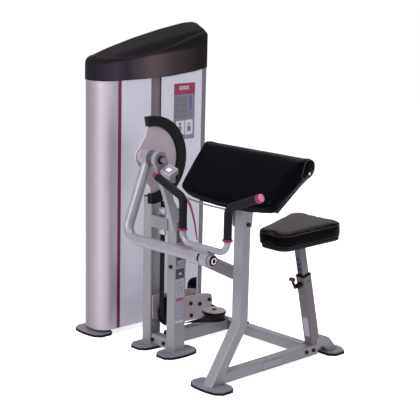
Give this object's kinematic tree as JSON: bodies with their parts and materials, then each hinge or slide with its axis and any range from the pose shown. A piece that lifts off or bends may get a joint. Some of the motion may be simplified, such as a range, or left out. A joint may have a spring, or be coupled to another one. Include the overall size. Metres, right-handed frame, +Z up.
{
  "type": "biceps curl machine",
  "caption": "Seated arm curl machine: shrouded weight tower, belt and cam drive, pivoting lever with bent grips, sloping arm pad and height-adjustable seat.",
  "frame": {"origin": "on the floor below the middle of the outer box", "axes": "+Z up, +X from the weight tower to the user's station, +Y from the lever's side to the seat; the user faces -Y"},
  "size_m": [1.4081, 0.9684, 1.546],
  "materials": {
    "frame_paint": "satin",
    "shroud_paint": "satin",
    "accent_paint": "satin",
    "black_plastic": "matte",
    "grey_plastic": "matte",
    "black_vinyl": "soft sheen",
    "black_rubber": "matte",
    "belt_rubber": "matte",
    "board_wood": "painted",
    "plate_paint": "satin",
    "bright_steel": "polished",
    "plain_steel": "brushed",
    "black_steel": "satin",
    "window_plastic": "glossy",
    "placard_print": "matte"
  },
  "bodies": {
    "frame": {"foot_plates": "frame_paint", "rubber_feet": "black_rubber", "tower_frame": "frame_paint", "guide_rods": "bright_steel", "stack_bumpers": "black_rubber", "weight_plates_resting": "plate_paint", "shroud_nose": "frame_paint", "shroud_tail": "frame_paint", "shroud_stripe": "accent_paint", "shroud_left_panel": "shroud_paint", "shroud_right_panel": "shroud_paint", "shroud_back_panel": "shroud_paint", "tower_cap": "black_plastic", "instruction_placard": "placard_print", "upright_right": "frame_paint", "upright_left": "frame_paint", "upright_arm": "frame_paint", "crossbars": "frame_paint", "pulley_base_tube": "frame_paint", "rear_base_tube": "frame_paint", "pad_post": "frame_paint", "seat_base_tube": "frame_paint", "post_brace": "frame_paint", "seat_post_outer": "frame_paint", "seat_post_sleeve": "black_plastic", "pin_barrel": "black_steel", "preacher_pad": "black_vinyl", "pad_board": "board_wood", "belt_clamp": "plain_steel", "lift_belt": "belt_rubber", "belt_drop": "belt_rubber", "pulley_guards": "frame_paint", "pulley_axles": "plain_steel", "counter_window": "window_plastic", "counter_housing": "grey_plastic", "bolts_and_plugs": "black_steel"},
    "arm": {"pivot_shaft": "plain_steel", "lever_arm": "frame_paint", "cam_rim": "black_plastic", "cam_plate": "frame_paint", "cam_strap": "belt_rubber"},
    "handle": {"swivel_collar": "frame_paint", "handle_bar": "frame_paint", "handle_grips": "black_rubber", "grip_trims": "accent_paint"},
    "stack": {"stack_top_plate": "plate_paint", "weight_plates_lifted": "plate_paint"},
    "selector": {"selector_pin": "bright_steel"},
    "seat": {"seat_post_inner": "bright_steel", "seat_board": "board_wood", "seat_pad": "black_vinyl"},
    "height_pin": {"pin_plunger": "black_steel", "pin_knob": "accent_paint"},
    "bottom_pulley_body": {"bottom_pulley": "black_plastic"},
    "floor_pulley_body": {"floor_pulley": "black_plastic"},
    "low_pulley_body": {"tower_low_pulley": "black_plastic"},
    "rear_pulley_body": {"tower_rear_pulley": "black_plastic"},
    "front_pulley_body": {"tower_front_pulley": "black_plastic"},
    "left_button": {"counter_button_left": "grey_plastic"},
    "right_button": {"counter_button_right": "grey_plastic"}
  },
  "joints": [
    {"name": "arm_pivot", "type": "hinge", "parent": "frame", "child": "arm", "pos_m": [-0.1, -0.313, 0.961], "axis": [1, 0, 0], "range_deg": [-130, 0]},
    {"name": "handle_swivel", "type": "hinge", "parent": "arm", "child": "handle", "pos_m": [0.3645, -0.45, 0.608], "axis": [1, 0, 0], "range_deg": [0, 55]},
    {"name": "stack_lift", "type": "slide", "parent": "frame", "child": "stack", "axis": [0, 0, 1], "range_m": [0, 0.46], "deforming": ["belt_drop"]},
    {"name": "selector_pull", "type": "slide", "parent": "stack", "child": "selector", "axis": [1, 0, 0], "range_m": [0, 0.06]},
    {"name": "seat_height", "type": "slide", "parent": "frame", "child": "seat", "axis": [0, -0.2351, 0.972], "range_m": [-0.075, 0.1]},
    {"name": "height_pin_pull", "type": "slide", "parent": "frame", "child": "height_pin", "axis": [0, -0.972, -0.2351], "range_m": [-0.006, 0.006], "stiffness_N_per_m": 700, "springref_m": -0.006},
    {"name": "bottom_pulley_spin", "type": "hinge", "parent": "frame", "child": "bottom_pulley_body", "pos_m": [-0.186, -0.107, 0.176], "axis": [1, 0, 0], "range_deg": [-370, 0]},
    {"name": "floor_pulley_spin", "type": "hinge", "parent": "frame", "child": "floor_pulley_body", "pos_m": [-0.1725, 0.166, 0.105], "axis": [0, 0, 1], "range_deg": [-475, 0]},
    {"name": "low_pulley_spin", "type": "hinge", "parent": "frame", "child": "low_pulley_body", "pos_m": [-0.548, 0.319, 0.141], "axis": [0, 1, 0], "range_deg": [-725, 0]},
    {"name": "rear_pulley_spin", "type": "hinge", "parent": "frame", "child": "rear_pulley_body", "pos_m": [-0.584, 0.283, 1.218], "axis": [1, 0, 0], "range_deg": [-725, 0]},
    {"name": "front_pulley_spin", "type": "hinge", "parent": "frame", "child": "front_pulley_body", "pos_m": [-0.584, 0.08, 1.218], "axis": [1, 0, 0], "range_deg": [-725, 0]},
    {"name": "left_button_press", "type": "slide", "parent": "frame", "child": "left_button", "axis": [-0.2629, 0.4339, -0.8618], "range_m": [0, 0.0008], "stiffness_N_per_m": 300, "springref_m": -0.0006},
    {"name": "right_button_press", "type": "slide", "parent": "frame", "child": "right_button", "axis": [-0.2629, 0.4339, -0.8618], "range_m": [0, 0.0008], "stiffness_N_per_m": 300, "springref_m": -0.0006}
  ],
  "couplings": [
    {"joint": "stack_lift", "follows": "arm_pivot", "m_per_rad": -0.2},
    {"joint": "bottom_pulley_spin", "follows": "arm_pivot", "ratio": 2.8169},
    {"joint": "floor_pulley_spin", "follows": "arm_pivot", "ratio": 3.6364},
    {"joint": "low_pulley_spin", "follows": "arm_pivot", "ratio": 5.5556},
    {"joint": "rear_pulley_spin", "follows": "arm_pivot", "ratio": 5.5556},
    {"joint": "front_pulley_spin", "follows": "arm_pivot", "ratio": 5.5556}
  ]
}
